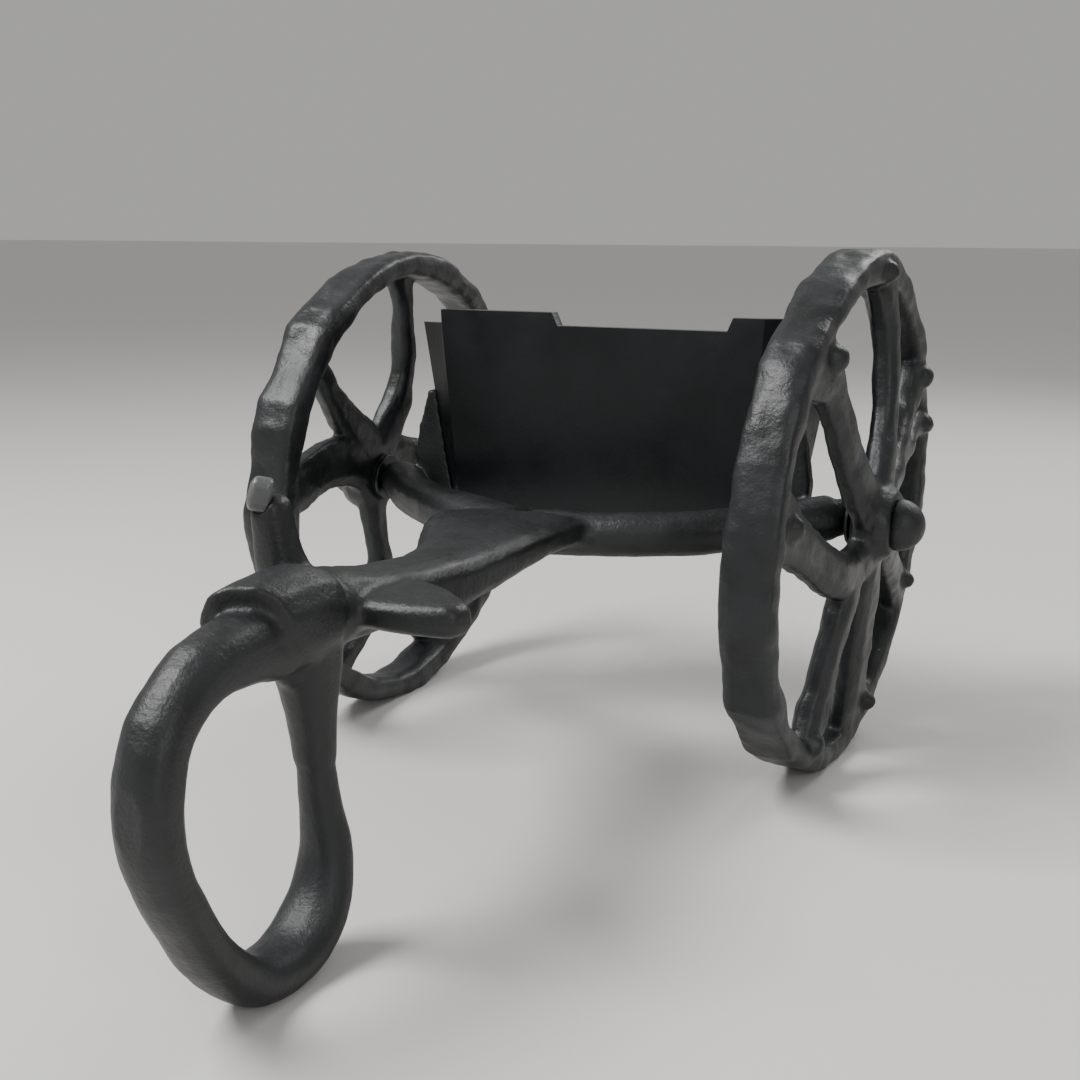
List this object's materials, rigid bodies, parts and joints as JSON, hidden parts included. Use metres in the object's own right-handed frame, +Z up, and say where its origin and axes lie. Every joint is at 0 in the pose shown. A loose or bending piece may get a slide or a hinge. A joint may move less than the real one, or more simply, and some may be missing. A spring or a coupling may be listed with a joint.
{
  "type": "desk cart sculpture",
  "caption": "Hand-cast desk sculpture of a small cart: a hooded front loop, a forked bar frame, two free-turning spoked wheels and an open magnetic tub for small steel things.",
  "frame": {"origin": "middle of the bounding box in plan, at the level the wheels and the front loop stand on", "axes": "+X to the cart's right side, +Y rearward, +Z up; the front loop is at -Y and the tub at +Y"},
  "size_m": [0.2014, 0.3012, 0.1519],
  "materials": {
    "cast_paint": "satin charcoal paint over hand-cast metal, rubbed lighter on the edges",
    "tub_paint": "smooth blue-black paint, satin on the faces and glossier on the rim's edge",
    "rubbed_paint": "charcoal paint rubbed through to pale grey metal",
    "bare_steel": "dull turned steel",
    "blackened_steel": "oil-blackened steel",
    "magnet_nickel": "nickel plate"
  },
  "bodies": {
    "chassis": {"front_loop": "cast_paint", "hood": "cast_paint", "left_axle_arm": "cast_paint", "left_cap": "cast_paint", "left_cover_screw": "bare_steel", "left_handle": "cast_paint", "left_handle_pad": "rubbed_paint", "left_spindle": "bare_steel", "left_tub_gusset": "cast_paint", "left_washer": "blackened_steel", "magnet": "magnet_nickel", "magnet_cover": "bare_steel", "right_axle_arm": "cast_paint", "right_cap": "cast_paint", "right_cover_screw": "bare_steel", "right_spindle": "bare_steel", "right_step": "cast_paint", "right_tub_gusset": "cast_paint", "right_washer": "blackened_steel", "stem": "cast_paint", "tub": "tub_paint"},
    "left_wheel_set": {"left_bush": "blackened_steel", "left_rivet_1": "cast_paint", "left_rivet_2": "cast_paint", "left_rivet_3": "cast_paint", "left_rivet_4": "cast_paint", "left_rivet_5": "cast_paint", "left_rivet_6": "cast_paint", "left_wheel": "cast_paint"},
    "right_wheel_set": {"right_bush": "blackened_steel", "right_rivet_1": "cast_paint", "right_rivet_2": "cast_paint", "right_rivet_3": "cast_paint", "right_rivet_4": "cast_paint", "right_rivet_5": "cast_paint", "right_rivet_6": "cast_paint", "right_rivet_7": "cast_paint", "right_rivet_8": "cast_paint", "right_wheel": "cast_paint"}
  },
  "joints": [
    {"name": "left_wheel_spin", "type": "hinge", "parent": "chassis", "child": "left_wheel_set", "pos_m": [-0.07498, 0.07563, 0.07432], "axis": [0.9995, 0, -0.0314], "continuous": true},
    {"name": "right_wheel_spin", "type": "hinge", "parent": "chassis", "child": "right_wheel_set", "pos_m": [0.07502, 0.07563, 0.07494], "axis": [0.998, -0.0471, -0.0419], "continuous": true}
  ]
}
